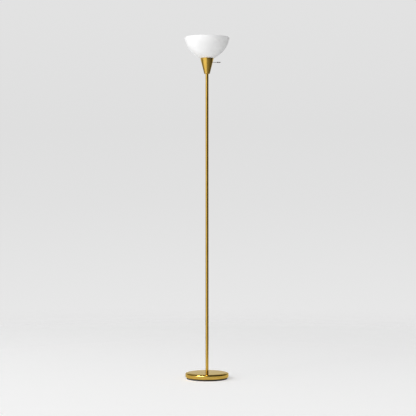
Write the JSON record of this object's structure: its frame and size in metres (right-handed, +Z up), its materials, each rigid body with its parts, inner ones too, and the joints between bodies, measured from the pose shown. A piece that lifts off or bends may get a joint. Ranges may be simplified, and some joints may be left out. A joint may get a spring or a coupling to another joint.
{
  "type": "torchiere floor lamp",
  "caption": "Tall uplight floor lamp: round weighted base, slim pole, conical cup with a side turn key, and an open opal bowl shade.",
  "frame": {"origin": "on the floor, at the centre of the base", "axes": "+Z up along the pole, the switch key points to +X, and the cord inlet faces +Y at the back"},
  "size_m": [0.2376, 0.2376, 1.803],
  "materials": {
    "satin_brass_plate": "satin brass plating on steel",
    "opal_shade": "opal white, smooth satin outside",
    "black_foam": "closed-cell foam, matt",
    "cast_concrete": "cast cement, as moulded",
    "galvanised_plate": "galvanised sheet",
    "black_nylon": "moulded nylon",
    "zinc_plated_steel": "bright zinc plating",
    "socket_hub_alloy": "die-cast alloy",
    "black_phenolic": "moulded phenolic",
    "bronze_phenolic": "dark brown moulded phenolic",
    "nickel_stem": "nickel plated steel",
    "white_nylon": "moulded nylon",
    "sheet_brass": "bright brass strip",
    "bulb_diffuser_plastic": "frosted opal",
    "bulb_housing_plastic": "moulded white",
    "bulb_cap_nickel": "nickel plated",
    "bulb_glass_insulator": "black glass",
    "bulb_solder": "solder button",
    "led_board_aluminium": "white solder mask",
    "circuit_board": "green solder mask",
    "lead_insulation": "soft PVC insulation"
  },
  "bodies": {
    "lamp": {"base_cover": "satin_brass_plate", "pole_bottom": "satin_brass_plate", "pole_lower_middle": "satin_brass_plate", "pole_upper_middle": "satin_brass_plate", "pole_top": "satin_brass_plate", "cup": "satin_brass_plate", "shade": "opal_shade", "foot_pad": "black_foam", "base_weight": "cast_concrete", "base_plate": "galvanised_plate", "cord_bushing": "black_nylon", "base_nipple": "zinc_plated_steel", "base_washer": "zinc_plated_steel", "base_lock_washer": "zinc_plated_steel", "base_nut": "zinc_plated_steel", "coupling_nipple_1": "zinc_plated_steel", "coupling_nipple_2": "zinc_plated_steel", "coupling_nipple_3": "zinc_plated_steel", "head_nipple": "zinc_plated_steel", "cup_washer": "zinc_plated_steel", "cup_nut": "zinc_plated_steel", "hub_set_screw": "zinc_plated_steel", "socket_screws": "zinc_plated_steel", "switch_nut": "zinc_plated_steel", "pole_bottom_lower_bush": "zinc_plated_steel", "pole_bottom_upper_bush": "zinc_plated_steel", "pole_lower_middle_lower_bush": "zinc_plated_steel", "pole_lower_middle_upper_bush": "zinc_plated_steel", "pole_upper_middle_lower_bush": "zinc_plated_steel", "pole_upper_middle_upper_bush": "zinc_plated_steel", "pole_top_lower_bush": "zinc_plated_steel", "pole_top_upper_bush": "zinc_plated_steel", "socket_hub": "socket_hub_alloy", "socket_cap": "black_phenolic", "socket_body": "black_phenolic", "shade_ring": "black_phenolic", "switch_bush": "black_phenolic", "screw_shell": "sheet_brass", "centre_contact": "sheet_brass", "terminal_plates": "sheet_brass", "terminal_screws": "sheet_brass", "switch_blade": "sheet_brass", "lamp_leads": "lead_insulation"},
    "switch": {"turn_key": "bronze_phenolic", "switch_stem": "nickel_stem", "switch_rotor": "white_nylon"},
    "bulb": {"bulb_cap": "bulb_cap_nickel", "bulb_contact": "bulb_solder", "bulb_insulator": "bulb_glass_insulator", "bulb_housing": "bulb_housing_plastic", "bulb_driver_board": "circuit_board", "bulb_led_board": "led_board_aluminium", "bulb_dome": "bulb_diffuser_plastic"}
  },
  "joints": [
    {"name": "switch_turn", "type": "hinge", "parent": "lamp", "child": "switch", "pos_m": [0.02, 0, 1.673], "axis": [1, 0, 0], "continuous": true},
    {"name": "bulb_lift", "type": "slide", "parent": "lamp", "child": "bulb", "axis": [0, 0, 1], "range_m": [0, 0.12]}
  ]
}
